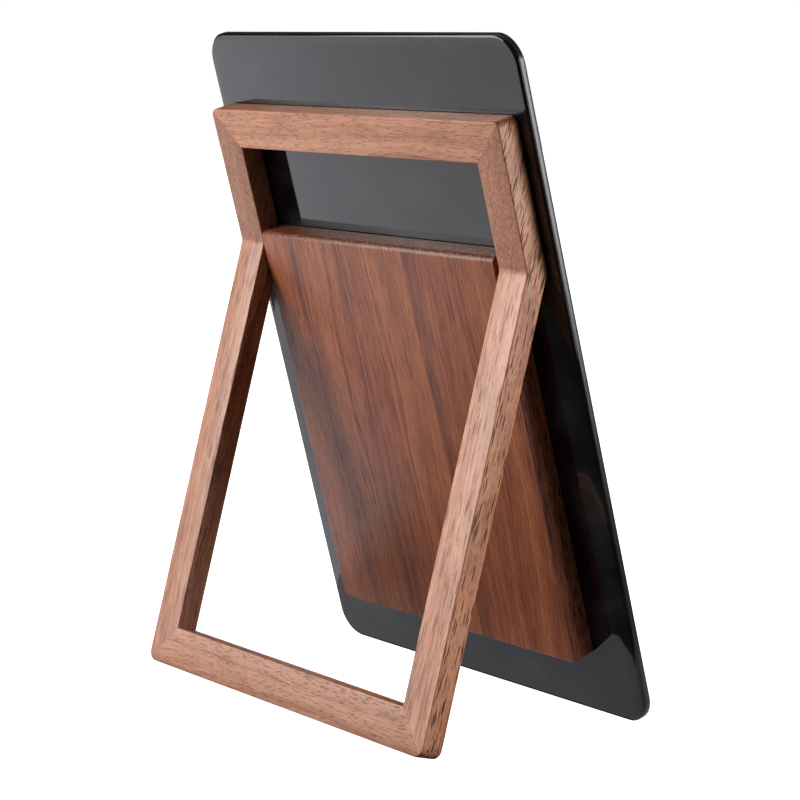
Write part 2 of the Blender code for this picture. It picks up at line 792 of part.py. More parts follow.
def make_speaker_and_antenna():
    wide, deep, tall = SPEAKER_SIZE
    back = POCKET_FLOOR - FIT
    low = POCKET_BOTTOM + 2 * FIT
    speaker = new_part(
        "speaker",
        slab(
            (SPEAKER_X - wide / 2, back - deep, low),
            (SPEAKER_X + wide / 2, back, low + tall),
            corner=tall / 5,
        ),
        "black_plastic",
    )
    cone = rod_y(back - deep - FIT, back - deep + 3 * FIT, SPEAKER_X, low + tall / 2, tall / 3, 24)
    cut(speaker, cone)
    start = Vector((SPEAKER_X + wide / 2 + FIT, back - deep / 2, low + tall / 3))
    board_side = BOARD_CENTRE - BOARD_WIDTH / 2
    end = Vector((board_side - FIT, (BOARD_FRONT + BOARD_BACK) / 2, BOARD_BOTTOM + BOARD_HEIGHT * 0.6))
    straight = Vector((LEAD_STRAIGHT, 0, 0))
    lead("speaker_lead", [start, start + straight, end - straight, end])

    wide, deep, tall = ANTENNA_SIZE
    high = POCKET_TOP - BOARD_HEIGHT / 2
    new_part(
        "wifi_antenna",
        slab(
            (BOARD_CENTRE - wide / 2, back - deep, high - tall),
            (BOARD_CENTRE + wide / 2, back, high),
        ),
        "board_green",
    )
    start = Vector((BOARD_CENTRE, back - LEAD_RADIUS, high - tall - FIT))
    side = BOARD_CENTRE - BOARD_WIDTH / 4
    end = Vector((side, (BOARD_FRONT + BOARD_BACK) / 2, BOARD_TOP + FIT))
    straight = Vector((0, 0, LEAD_STRAIGHT))
    lead("antenna_lead", [start, start - straight, end + straight, end])


# ---------------------------------------------------------------- hinge
def bracket_screw_place(side):
    _, inner, _ = hinge_ends(side)
    return inner - side * (BRACKET_FOOT * 0.7), PIVOT.z


def screw_tip():
    return POCKET_FLOOR + HOUSING_BACK_WALL / 2


def ring_x(name, start, end, outer, bore, material, parent=PLATE, centre=PIVOT):
    """A bush or washer along X."""
    made = new_part(name, rod_x(start, end, centre, outer), material, parent)
    smooth(made)
    reach = math.copysign(FIT, end - start)
    cut(made, rod_x(start - reach, end + reach, centre, bore))
    return made


def make_hinge(side, word):
    outer, inner, bar = hinge_ends(side)
    centre = Vector((0, 0, 0))
    ring_x(f"wall_bush_{word}", inner + side * FIT, outer, BUSH_RADIUS, BUSH_BORE, "brass")
    ring_x(
        f"bar_bush_{word}",
        bar,
        bar + side * PIN_IN_BAR,
        BUSH_RADIUS,
        BUSH_BORE,
        "brass",
        STAND,
        centre,
    )
    middle = (outer + bar) / 2
    half = side * WASHER_THICKNESS / 2
    ring_x(
        f"friction_washer_{word}",
        middle - half,
        middle + half,
        WASHER_RADIUS,
        BUSH_BORE,
        "washer_nylon",
    )
    head = inner - side * PIN_HEAD
    pin = new_part(
        f"hinge_pin_{word}", rod_x(head, inner, PIVOT, PIN_HEAD_RADIUS), "steel"
    )
    smooth(pin)
    tip = bar + side * (PIN_IN_BAR - FIT)
    cut(pin, rod_x(inner - side * FIT, tip, PIVOT, PIN_RADIUS), "UNION")

    face = head - side * FIT
    plate = face - side * BRACKET_THICKNESS
    foot = inner - side * BRACKET_FOOT
    back = POCKET_FLOOR - FIT
    reach = BRACKET_HALF_HEIGHT
    bracket = new_part(
        f"pin_bracket_{word}",
        slab(
            (min(face, plate), PIVOT.y - reach, PIVOT.z - reach),
            (max(face, plate), back, PIVOT.z + reach),
        ),
        "steel",
    )
    cut(
        bracket,
        slab(
            (min(face, foot), back - BRACKET_THICKNESS, PIVOT.z - reach),
            (max(face, foot), back, PIVOT.z + reach),
        ),
        "UNION",
    )
    x, z = bracket_screw_place(side)
    hole_front = back - BRACKET_THICKNESS - FIT
    cut(bracket, rod_y(hole_front, back + FIT, x, z, SCREW_RADIUS + FIT))
    screw = new_part(
        f"bracket_screw_{word}",
        rod_y(hole_front - SCREW_HEAD, hole_front, x, z, SCREW_HEAD_RADIUS),
        "steel",
    )
    smooth(screw)
    cut(screw, rod_y(hole_front - FIT, screw_tip(), x, z, SCREW_RADIUS), "UNION")


# ---------------------------------------------------------------- stand
STAND_CORNERS = {"top": CREST_CORNER, "bottom": FOOT_CORNER}
SECTIONS = {
    "top": (UP, UPPER_LENGTH, Matrix.Identity(4)),
    "bottom": (
        LEG,
        LEG_LENGTH,
        Matrix(
            (
                (-1, 0, 0, 0),
                (0, LEG_BACK.y, LEG.y, 0),
                (0, LEG_BACK.z, LEG.z, 0),
                (0, 0, 0, 1),
            )
        ),
    ),
}


def bar_outline():
    """Side view of a side bar about the hinge axis, as (y, z) points."""
    half_bend = BEND / 2
    inner = Vector((1.0, math.tan(half_bend))) * HALF_DEPTH
    centre = (inner.x + KINK_BLEND, inner.y + KINK_BLEND * math.tan(half_bend))
    blend = arc(centre, KINK_BLEND, math.pi, math.pi + BEND, 4)
    front = arc((0.0, 0.0), HALF_DEPTH, math.pi + BEND, math.pi, 6)
    leg_end = LEG_LENGTH * Vector((LEG.y, LEG.z))
    leg_side = HALF_DEPTH * Vector((LEG_BACK.y, LEG_BACK.z))
    points = [(HALF_DEPTH, UPPER_LENGTH)]
    points += blend
    points += [tuple(leg_end + leg_side), tuple(leg_end - leg_side)]
    points += front
    points += [(-HALF_DEPTH, UPPER_LENGTH)]
    return points


def mitre(work, side, run, length, keep_bar):
    """Cut a corner at 45 degrees, and keep the side bar's half or the rail's."""
    out = Vector((side, 0.0, 0.0))
    point = out * (STAND_HALF - BAR_WIDTH / 2) + run * (length - BAR_WIDTH / 2)
    away = (run - out).normalized() if keep_bar else (out - run).normalized()
    made = bmesh.ops.bisect_plane(
        work,
        geom=work.verts[:] + work.edges[:] + work.faces[:],
        dist=0.000001,
        plane_co=point - away * GLUE / 2,
        plane_no=away,
        clear_outer=True,
    )
    rim = [thing for thing in made["geom_cut"] if isinstance(thing, bmesh.types.BMEdge)]
    bmesh.ops.edgeloop_fill(work, edges=rim)


def dowel_line(side, run, length):
    """The middle and the direction of a corner's dowel."""
    out = Vector((side, 0.0, 0.0))
    middle = out * (STAND_HALF - BAR_WIDTH / 2) + run * (length - BAR_WIDTH / 2)
    return middle, (out - run).normalized()


def dowel_hole(side, run, length):
    middle, along = dowel_line(side, run, length)
    return rod(middle, along, DOWEL_RADIUS + FIT, DOWEL_LENGTH + 2 * FIT, 16)


def make_side_bar(side, word):
    data = poly_curve(bar_outline(), "2D", True)
    data.fill_mode = "BOTH"
    data.extrude = BAR_WIDTH / 2
    middle = side * (STAND_HALF - BAR_WIDTH / 2)
    work = mesh_of_curve(data, Matrix.Translation((middle, 0, 0)) @ YZ_OUTLINE)
    bmesh.ops.recalc_face_normals(work, faces=work.faces[:])
    bmesh.ops.dissolve_limit(
        work, angle_limit=math.radians(1), verts=work.verts[:], edges=work.edges[:]
    )
    outer = side * STAND_HALF
    for end, (run, length, _) in SECTIONS.items():
        corner = edges_where(
            work, lambda co: abs(co.x - outer) < FIT and co.dot(run) > length - FIT
        )
        bevel(work, corner, STAND_CORNERS[end], 6)
    bevel(work, sharp_edges(work), ARRIS, 2)
    for run, length, _ in SECTIONS.values():
        mitre(work, side, run, length, keep_bar=True)
    bar = new_part(f"side_bar_{word}", mesh_from(work), "stand_walnut", STAND)
    smooth(bar)
    for run, length, _ in SECTIONS.values():
        cut(bar, dowel_hole(side, run, length))
    inner = side * (STAND_HALF - BAR_WIDTH)
    bore_end = inner + side * (PIN_IN_BAR + FIT)
    cut(bar, rod_x(inner - side * FIT, bore_end, Vector((0, 0, 0)), BUSH_RADIUS + FIT))


def make_rail(word):
    run, length, place = SECTIONS[word]
    work = slab_work(
        (-STAND_HALF, -HALF_DEPTH, length - BAR_WIDTH), (STAND_HALF, HALF_DEPTH, length)
    )
    through = edges_along(work, 1)
    corners = [edge for edge in through if edge.verts[0].co.z > length - FIT]
    bevel(work, corners, STAND_CORNERS[word], 6)
    bevel(work, sharp_edges(work), ARRIS, 2)
    for side in (-1, 1):
        mitre(work, side, UP, length, keep_bar=False)
    bmesh.ops.transform(work, matrix=place, verts=work.verts[:])
    rail = new_part(f"{word}_rail", mesh_from(work), "stand_walnut", STAND)
    smooth(rail)
    for side in (-1, 1):
        cut(rail, dowel_hole(side, run, length))


def make_stand():
    for side, word in ((1, "left"), (-1, "right")):
        make_side_bar(side, word)
        make_hinge(side, word)
    number = 0
    for word, (run, length, _) in SECTIONS.items():
        make_rail(word)
        for side in (1, -1):
            number += 1
            middle, along = dowel_line(side, run, length)
            dowel = new_part(
                f"corner_dowel_{number}",
                rod(middle, along, DOWEL_RADIUS, DOWEL_LENGTH, 16),
                "dowel_beech",
                STAND,
            )
            smooth(dowel)


make_plate()
make_housing()
make_board()
make_ribbon()
make_ports()
make_speaker_and_antenna()
make_stand()
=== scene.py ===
"""Digital picture frame: a glossy black display plate, walnut housing and folding walnut stand."""

import json
import math

import bpy
from mathutils import Matrix, Vector


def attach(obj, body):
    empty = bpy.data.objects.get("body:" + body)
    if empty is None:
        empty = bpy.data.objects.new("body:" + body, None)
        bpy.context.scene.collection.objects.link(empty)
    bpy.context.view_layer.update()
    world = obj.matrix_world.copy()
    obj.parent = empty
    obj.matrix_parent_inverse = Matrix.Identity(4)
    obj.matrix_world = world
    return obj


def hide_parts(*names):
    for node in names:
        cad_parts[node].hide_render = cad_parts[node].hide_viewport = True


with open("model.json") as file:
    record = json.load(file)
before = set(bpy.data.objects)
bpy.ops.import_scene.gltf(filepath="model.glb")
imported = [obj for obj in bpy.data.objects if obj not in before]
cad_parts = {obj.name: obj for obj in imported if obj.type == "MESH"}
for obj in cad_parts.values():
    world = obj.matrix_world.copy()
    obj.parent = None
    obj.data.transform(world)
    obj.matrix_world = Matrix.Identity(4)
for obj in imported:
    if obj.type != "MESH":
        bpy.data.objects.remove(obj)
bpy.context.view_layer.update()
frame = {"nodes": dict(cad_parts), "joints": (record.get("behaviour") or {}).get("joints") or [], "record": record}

MM = 0.001
TOUCH = 0.01 * MM  # what lies closer than this lies at the same place

# ---------------------------------------------------------------- the object's own directions
JOINTS = {joint["name"]: joint for joint in frame["joints"]}
SLOTS = {part["node"]: part["material_slot"] for part in frame["record"]["subparts"]}
PLATE_UP = Vector(JOINTS["button_press"]["axis"]).normalized()
PIVOT = Vector(JOINTS["stand_hinge"]["pos_m"])
BEND = math.radians(JOINTS["stand_hinge"]["range_deg"][1])
LEAN = math.atan2(PLATE_UP.y, PLATE_UP.z)
LEAN_TURN = Matrix.Rotation(-LEAN, 4, "X")
LEG_TURN = Matrix.Rotation(BEND - LEAN, 4, "X")
UPPER = Matrix.Translation(PIVOT) @ LEAN_TURN  # axes of the stand's upper part, from the hinge
LEG = Matrix.Translation(PIVOT) @ LEG_TURN  # axes of its leg, from the hinge


class Box:
    """A node's box at rest, along tilted axes."""

    def __init__(self, node, axes):
        undo = axes.inverted()
        points = [undo @ vertex.co for vertex in frame["nodes"][node].data.vertices]
        self.low = Vector([min(point[axis] for point in points) for axis in range(3)])
        self.high = Vector([max(point[axis] for point in points) for axis in range(3)])
        self.size = self.high - self.low
        self.middle = (self.high + self.low) / 2


TILTED = Box("back_panel", LEAN_TURN)
PLATE_ORIGIN = LEAN_TURN @ Vector((0, TILTED.high.y, TILTED.low.z))
PLATE = Matrix.Translation(PLATE_ORIGIN) @ LEAN_TURN  # from the panel's bottom edge, on its back


def plate_box(node):
    return Box(node, PLATE)


# ---------------------------------------------------------------- modelling by hand
def pick(piece):
    """Make a piece the active one, and the only one selected."""
    bpy.ops.object.select_all(action="DESELECT")
    bpy.context.view_layer.objects.active = piece
    piece.select_set(True)


def fresh(name):
    """Name the primitive that was just added, and apply its place, turn and size."""
    piece = bpy.context.active_object
    piece.name = name
    piece.data.name = name
    bpy.ops.object.transform_apply(location=True, rotation=True, scale=True)
    return piece


def add_block(name, low, high):
    """A cube at its size and place, ready to be shaped."""
    low = Vector(low)
    high = Vector(high)
    bpy.ops.object.select_all(action="DESELECT")
    bpy.ops.mesh.primitive_cube_add(size=1, location=(low + high) / 2)
    bpy.context.active_object.scale = high - low
    return fresh(name)


def add_rod(name, centre, radius, length):
    """A cylinder at its size and place, along X."""
    bpy.ops.object.select_all(action="DESELECT")
    bpy.ops.mesh.primitive_cylinder_add(
        vertices=48, radius=radius, depth=length, location=centre, rotation=(0, math.pi / 2, 0)
    )
    return fresh(name)


def open_up(piece, kind):
    """Enter edit mode on a piece, with nothing selected in it."""
    pick(piece)
    bpy.ops.object.mode_set(mode="EDIT")
    bpy.ops.mesh.select_mode(type=kind)
    bpy.ops.mesh.select_all(action="DESELECT")


def done():
    bpy.ops.object.mode_set(mode="OBJECT")


def choose(piece, kind, test):
    """Enter edit mode with just the edges or faces selected that pass a test."""
    open_up(piece, kind)
    done()
    mesh = piece.data
    for item in mesh.edges if kind == "EDGE" else mesh.polygons:
        item.select = test([mesh.vertices[number].co for number in item.vertices])
    bpy.ops.object.mode_set(mode="EDIT")


def runs_along(axis):
    """A test for edges that run along an axis."""

    def test(ends):
        run = ends[1] - ends[0]
        return abs(run[axis]) > 0.999 * run.length

    return test


def lies_at(axis, place):
    """A test for edges and faces that lie across an axis, at a place on it."""
    return lambda corners: all(abs(corner[axis] - place) < TOUCH for corner in corners)


def lies_in(normal, distance):
    """A test for edges and faces that lie in a tilted plane."""
    return lambda corners: all(abs(corner.dot(normal) - distance) < TOUCH for corner in corners)


def both(first, second):
    return lambda corners: first(corners) and second(corners)


def round_off(width, segments):
    bpy.ops.mesh.bevel(offset=width, segments=segments, profile=0.5, affect="EDGES")
    done()


def bevel(piece, test, width, segments):
    choose(piece, "EDGE", test)
    round_off(width, segments)


def bevel_sharp(piece, width, segments, angle=50):
    """Ease every edge that is sharper than an angle."""
    open_up(piece, "EDGE")
    bpy.ops.mesh.edges_select_sharp(sharpness=math.radians(angle))
    round_off(width, segments)


def slice_off(piece, place, normal):
    """Cut away what lies beyond a plane, on the side of its normal, and close the cut."""
    open_up(piece, "EDGE")
    bpy.ops.mesh.select_all(action="SELECT")
    bpy.ops.mesh.bisect(
        plane_co=place, plane_no=normal, use_fill=True, clear_outer=True, threshold=0.001 * MM
    )
    done()


def push(piece, test, move):
    """Extrude the chosen faces by a move."""
    choose(piece, "FACE", test)
    bpy.ops.mesh.extrude_region_move(TRANSFORM_OT_translate={"value": move})
    done()


def inset(piece, test, width):
    choose(piece, "FACE", test)
    bpy.ops.mesh.inset(thickness=width)
    done()


def carve(piece, *cutters):
    """Cut the cutters' shapes out of a piece, and remove the cutters."""
    pick(piece)
    for cutter in cutters:
        step = piece.modifiers.new("Carve", "BOOLEAN")
        step.operation = "DIFFERENCE"
        step.solver = "EXACT"
        step.object = cutter
        bpy.ops.object.modifier_apply(modifier=step.name)
        bpy.data.objects.remove(cutter)


def rounded_slab(name, low, high, corner, segments):
    """A slab whose four corners, seen along Y, are rounded."""
    piece = add_block(name, low, high)
    bevel(piece, runs_along(1), corner, segments)
    return piece


def settle(piece, axes, material, body, node, smooth=35):
    """Put a finished piece in place with its mesh in the object's frame, and let it ride."""
    pick(piece)
    bpy.ops.object.shade_smooth_by_angle(angle=math.radians(smooth))
    piece.matrix_world = axes
    bpy.ops.object.transform_apply(location=True, rotation=True, scale=True)
    piece.data.materials.clear()
    piece.data.materials.append(material)
    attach(piece, body)
    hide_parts(node)


# ---------------------------------------------------------------- painting
class Value:
    """A socket that carries a number, with arithmetic that adds Math nodes."""

    def __init__(self, paint, socket):
        self.paint = paint
        self.socket = socket

    def __add__(self, other):
        return self.paint.math("ADD", self, other)

    def __sub__(self, other):
        return self.paint.math("SUBTRACT", self, other)

    def __rsub__(self, other):
        return self.paint.math("SUBTRACT", other, self)

    def __mul__(self, other):
        return self.paint.math("MULTIPLY", self, other)

    __radd__ = __add__
    __rmul__ = __mul__


def set_stops(ramp, stops):
    while len(ramp.elements) < len(stops):
        ramp.elements.new(1.0)
    for element, (place, colour) in zip(ramp.elements, stops):
        element.position = place
        element.color = (*colour, 1.0)


class Paint:
    """A material with one Principled shader, and the nodes that feed it."""

    def __init__(self, name, **sockets):
        self.material = bpy.data.materials.new(name)
        self.material.use_nodes = True
        self.tree = self.material.node_tree
        self.shader = self.tree.nodes["Principled BSDF"]
        self.coat(**sockets)

    def coat(self, **sockets):
        """Feed the shader, and hand over the material."""
        for word, value in sockets.items():
            socket = word.replace("_", " ").title().replace("Ior", "IOR")
            self.feed(self.shader, socket, value)
        return self.material

    def feed(self, node, socket, value):
        target = node.inputs[socket]
        if isinstance(value, Value):
            self.tree.links.new(value.socket, target)
        elif target.type == "RGBA":
            target.default_value = (*value, 1.0)
        else:
            target.default_value = value

    def node(self, kind, settings, sockets, output=0):
        """A node: its settings first, then the values or links of its sockets."""
        made = self.tree.nodes.new("ShaderNode" + kind)
        for name, value in settings.items():
            if name == "stops":
                set_stops(made.color_ramp, value)
            else:
                setattr(made, name, value)
        for socket, value in sockets.items():
            self.feed(made, socket, value)
        return Value(self, made.outputs[output])

    def math(self, operation, *values):
        return self.node("Math", {"operation": operation}, dict(enumerate(values)))

    def place(self, turn=Matrix.Identity(3), unit=MM, offset=(0, 0, 0)):
        """Object coordinates along a pattern's own axes, in a unit of length."""
        start = self.node("TexCoord", {}, {}, "Object")
        turned = {
            "Vector": start,
            "Rotation": turn.to_euler(),
            "Scale": (1 / unit, 1 / unit, 1 / unit),
            "Location": offset,
        }
        return self.node("Mapping", {}, turned)

    def stretch(self, vector, across, through, along):
        """A vector divided by three lengths, one for each axis."""
        scale = (1 / across, 1 / through, 1 / along)
        return self.node("VectorMath", {"operation": "MULTIPLY"}, {0: vector, 1: scale})

    def part(self, vector, axis):
        return self.node("SeparateXYZ", {}, {0: vector}, axis)

    def facing(self, direction):
        """How squarely the surface faces along a direction, or against it: 0 to 1."""
        normal = self.node("TexCoord", {}, {}, "Normal")
        sockets = {0: normal, 1: direction}
        along = self.node("VectorMath", {"operation": "DOT_PRODUCT"}, sockets, "Value")
        return self.math("ABSOLUTE", along)

    def noise(self, vector, detail=2.0, roughness=0.5, scale=1.0):
        sockets = {"Vector": vector, "Scale": scale, "Detail": detail, "Roughness": roughness}
        return self.node("TexNoise", {}, sockets)

    def line_noise(self, value, detail, roughness):
        """Noise along a line: one number in, one out."""
        sockets = {"W": value, "Scale": 1.0, "Detail": detail, "Roughness": roughness}
        return self.node("TexNoise", {"noise_dimensions": "1D"}, sockets)

    def cells(self, vector, output):
        return self.node("TexVoronoi", {}, {"Vector": vector, "Scale": 1.0}, output)

    def fade(self, value, start, end):
        """0 before start, 1 after end, smooth between."""
        sockets = {"Value": value, "From Min": start, "From Max": end}
        return self.node("MapRange", {"interpolation_type": "SMOOTHSTEP"}, sockets)

    def ramp(self, value, *stops):
        return self.node("ValToRGB", {"stops": stops}, {"Fac": value})

    def mix(self, factor, first, second):
        """A colour between two others."""
        return self.node("Mix", {"data_type": "RGBA"}, {0: factor, 6: first, 7: second}, 2)

    def bump(self, height, distance, strength):
        sockets = {"Height": height, "Distance": distance, "Strength": strength}
        return self.node("Bump", {}, sockets)


X_TO_Z = Matrix(((0, 0, -1), (0, 1, 0), (1, 0, 0)))


def grain_along(axes, across=False):
    """The turn that lays a pattern's Z axis along a piece's own Z, or along its X."""
    turn = axes.to_3x3().inverted()
    return X_TO_Z @ turn if across else turn


def shaded(colour, strength):
    return tuple(strength * channel for channel in colour)


# ---------------------------------------------------------------- walnut
# sizes of the figure in mm: across, through and along the grain
DRIFT = (30, 30, 160)  # how far apart the growth rings wander
SWAY = (9, 9, 60)
FIBRE = (0.5, 0.5, 14)
PATCH = (7, 7, 20)
CELL_WALL = (0.9, 0.9, 5.0)
SHORT_PORE_ROOM = 0.4
SHORT_PORE = 0.4  # length of a short pore as a share of a long one
DRIFT_REACH = 22
SWAY_REACH = 2.5
SAWN_SLOPE = 0.45  # how fast the rings pass from front to back
FACE_PORES = 0.40  # depth of the pores on a flat-sawn face; 1 on the sides
PORE_DARKNESS = 0.15
OIL_AND_SHADE_DARKNESS = 0.6  # end grain takes up more oil, and painted shade darkens it further on the faces across the grain, such as the tops
PORE_RELIEF = 0.05 * MM


def walnut(name, turn, offset, tones, look, rings=(7.0, 1.3)):
    """Oiled walnut: growth bands, fibres and open pores that run along the grain."""
    paint = Paint(name, specular_ior_level=0.28)
    grain = paint.place(turn, MM, offset)
    drift = paint.noise(paint.stretch(grain, *DRIFT))
    sway = paint.noise(paint.stretch(grain, *SWAY))
    ring = paint.part(grain, 0) + SAWN_SLOPE * paint.part(grain, 1)
    ring = ring + DRIFT_REACH * drift + SWAY_REACH * sway
    wide, fine = rings
    bands = paint.line_noise(ring * (1 / wide), 2.0, 0.5)
    lines = paint.line_noise(ring * (1 / fine), 3.0, 0.6)
    fibres = paint.noise(paint.stretch(grain, *FIBRE), 3.0, 0.65)
    patches = paint.noise(paint.stretch(grain, *PATCH), 2.0, 0.6)

    def spread(pattern, share):
        return look[share] * (pattern - 0.5)

    tone = 0.5 + spread(bands, "bands") + spread(lines, "lines") + spread(fibres, "fibres")
    tone = tone + spread(patches, "patches")
    colour = paint.ramp(tone, *tones)
    darkest = tones[0][1]
    lit_wall = tones[2][1]

    def vessels(across, along, radius, share):
        """Open pores: one in each chosen cell of the wood, more of them in the dark bands."""
        cell = paint.stretch(grain, across, across, along)
        near = paint.cells(cell, "Distance")
        lottery = paint.part(paint.cells(cell, "Color"), 0)
        chosen = paint.fade(lottery + 0.5 * (bands - 0.5), 1 - share, 1.04 - share)
        return (1 - paint.fade(near, radius * 0.7, radius)) * chosen

    length = look["pore_length"]
    long_pores = vessels(look["pore_room"], length, 0.45, look["pores"])
    short_pores = vessels(SHORT_PORE_ROOM, length * SHORT_PORE, 0.38, look["pores"])
    open_pores = paint.math("MAXIMUM", long_pores, 0.6 * short_pores)
    end_grain = paint.fade(paint.facing(turn.transposed() @ Vector((0, 0, 1))), 0.15, 0.9)
    cell_walls = paint.noise(paint.stretch(grain, *CELL_WALL), 2.0, 0.6)
    # end grain darker: partly oil, partly painted shade on the faces across the grain
    oiled_and_shaded = paint.mix(end_grain * look["end_grain"], colour, shaded(darkest, OIL_AND_SHADE_DARKNESS))
    speckled = paint.mix(end_grain * paint.fade(cell_walls, 0.5, 0.6), oiled_and_shaded, lit_wall)
    # painted shade: the wood darkens towards the low end of its grain, the bottom of the housing
    painted_shade = look["painted_shade"] * (1 - paint.fade(paint.part(grain, 2), *look["painted_shade_span"]))
    with_painted_shade = paint.mix(painted_shade, speckled, darkest)
    depth = FACE_PORES + (1 - FACE_PORES) * paint.facing((1, 0, 0))
    pored = paint.mix(depth * open_pores, with_painted_shade, shaded(darkest, PORE_DARKNESS))
    height = 0.5 * fibres - open_pores + 0.5 * end_grain * cell_walls
    return paint.coat(
        base_color=pored,
        roughness=look["roughness"] + 0.12 * fibres + 0.25 * open_pores,
        normal=paint.bump(height, PORE_RELIEF, look["relief"]),
    )


STAND_LOOK = {
    "bands": 0.7,
    "lines": 0.5,
    "fibres": 0.8,
    "patches": 0.7,
    "pores": 0.37,
    "pore_length": 9.0,
    "pore_room": 0.68,
    "end_grain": 1.0,
    "painted_shade": 0.0,
    "painted_shade_span": (0.0, 1.0),
    "roughness": 0.30,
    "relief": 0.5,
}
RAIL_LOOK = {**STAND_LOOK, "pore_length": 4.5, "pore_room": 0.6, "pores": 0.5, "patches": 0.4}
HOUSING_LOOK = {
    "bands": 1.1,
    "lines": 0.7,
    "fibres": 0.95,
    "patches": 0.4,
    "pores": 0.30,
    "pore_length": 8.0,
    "pore_room": 0.5,
    "end_grain": 0.85,
    # painted shade, darker towards the housing's bottom
    "painted_shade": 0.32,
    "painted_shade_span": (30.0, 190.0),
    "roughness": 0.30,
    "relief": 0.3,
}
STAND_TONES = (
    (0.15, (0.205, 0.070, 0.034)),
    (0.42, (0.410, 0.170, 0.091)),
    (0.60, (0.500, 0.226, 0.128)),
    (0.85, (0.590, 0.300, 0.170)),
)
HOUSING_TONES = (
    (0.15, (0.088, 0.027, 0.017)),
    (0.40, (0.212, 0.064, 0.032)),
    (0.60, (0.305, 0.094, 0.040)),
    (0.88, (0.400, 0.142, 0.062)),
)


def stand_walnut(word, axes, across, offset, strength, look):
    """Walnut for one bar or rail, a little paler or darker than its neighbours."""
    tones = [(stop, shaded(colour, strength)) for stop, colour in STAND_TONES]
    return walnut(f"walnut_{word}", grain_along(axes, across), offset, tones, look)


HOUSING_WALNUT = walnut(
    "walnut_housing", grain_along(PLATE), (22, 4, 31), HOUSING_TONES, HOUSING_LOOK, (13.0, 1.6)
)
STAND_WALNUT = {
    "left": stand_walnut("left", LEG, False, (3, 7, 2), 0.95, STAND_LOOK),
    "right": stand_walnut("right", LEG, False, (61, 13, 40), 1.18, STAND_LOOK),
    "top": stand_walnut("top", UPPER, True, (25, 9, 77), 1.05, RAIL_LOOK),
    "bottom": stand_walnut("bottom", LEG, True, (40, 2, 12), 1.05, RAIL_LOOK),
}


# ---------------------------------------------------------------- other finishes
def polished(name, colour, roughness, film):
    """A polished finish under a faint, cloudy film of handling."""
    paint = Paint(name)
    where = paint.place(grain_along(PLATE))
    clouds = paint.noise(paint.stretch(where, 50, 50, 30), 3.0, 0.6)
    hazy = tuple(channel + film for channel in colour)
    return paint.coat(
        base_color=paint.mix(paint.fade(clouds, 0.42, 0.72), colour, hazy),
        roughness=roughness + 0.04 * clouds,
    )


def satin(name, colour, roughness, metallic=0.0, grain=0.08):
    """A satin metal or moulded plastic with a fine grain."""
    paint = Paint(name, metallic=metallic)
    where = paint.place(grain_along(PLATE))
    fine = paint.noise(paint.stretch(where, 0.12, 0.12, 0.12), 2.0, 0.6)
    broad = paint.noise(paint.stretch(where, 14, 14, 14))
    worn = tuple(channel * 1.25 + 0.004 for channel in colour)
    return paint.coat(
        base_color=paint.mix(paint.fade(broad + 0.4 * fine, 0.45, 0.9), colour, worn),
        roughness=roughness + grain * (fine - 0.5) + 0.08 * (broad - 0.5),
        normal=paint.bump(fine, 0.01 * MM, 0.3),
    )


BORDER_OVERLAP = 1.5  # mm of the display that the printed border hides
BORDER_BLUR = 0.15
BORDER_BLACK = (0.003, 0.003, 0.004)
SCREEN_GREY = (0.016, 0.017, 0.021)


def screen_glass():
    """Clear glass over a printed black border and a switched-off display."""
    paint = Paint("screen_glass")
    where = paint.place(grain_along(PLATE))
    screen = plate_box("lcd_panel")
    middle = PLATE.to_3x3().inverted() @ (PLATE @ screen.middle) / MM
    inside = 1
    for axis in (0, 2):
        half = screen.size[axis] / MM / 2 - BORDER_OVERLAP
        away = paint.math("ABSOLUTE", paint.part(where, axis) - middle[axis])
        inside = (1 - paint.fade(away, half - BORDER_BLUR, half)) * inside
    smears = paint.noise(paint.stretch(where, 45, 45, 25), 3.0, 0.6)
    colour = paint.mix(inside, BORDER_BLACK, SCREEN_GREY)
    return paint.coat(base_color=colour, roughness=0.02 + 0.05 * smears)


MASK_GREEN = (0.010, 0.075, 0.030)
TRACK_GREEN = (0.030, 0.190, 0.070)


def circuit_board():
    """Green solder mask over copper runs."""
    paint = Paint("circuit_board")
    where = paint.place(grain_along(PLATE))
    runs = paint.cells(paint.stretch(where, 2.2, 9.0, 7.0), "Distance")
    wide = paint.cells(paint.stretch(where, 6.0, 9.0, 1.6), "Distance")
    copper = paint.fade(runs, 0.52, 0.56) + paint.fade(wide, 0.56, 0.6)
    fine = paint.noise(paint.stretch(where, 0.3, 0.3, 0.3))
    colour = paint.mix(0.6 * copper, MASK_GREEN, TRACK_GREEN)
    return paint.coat(base_color=colour, roughness=0.3 + 0.15 * fine)


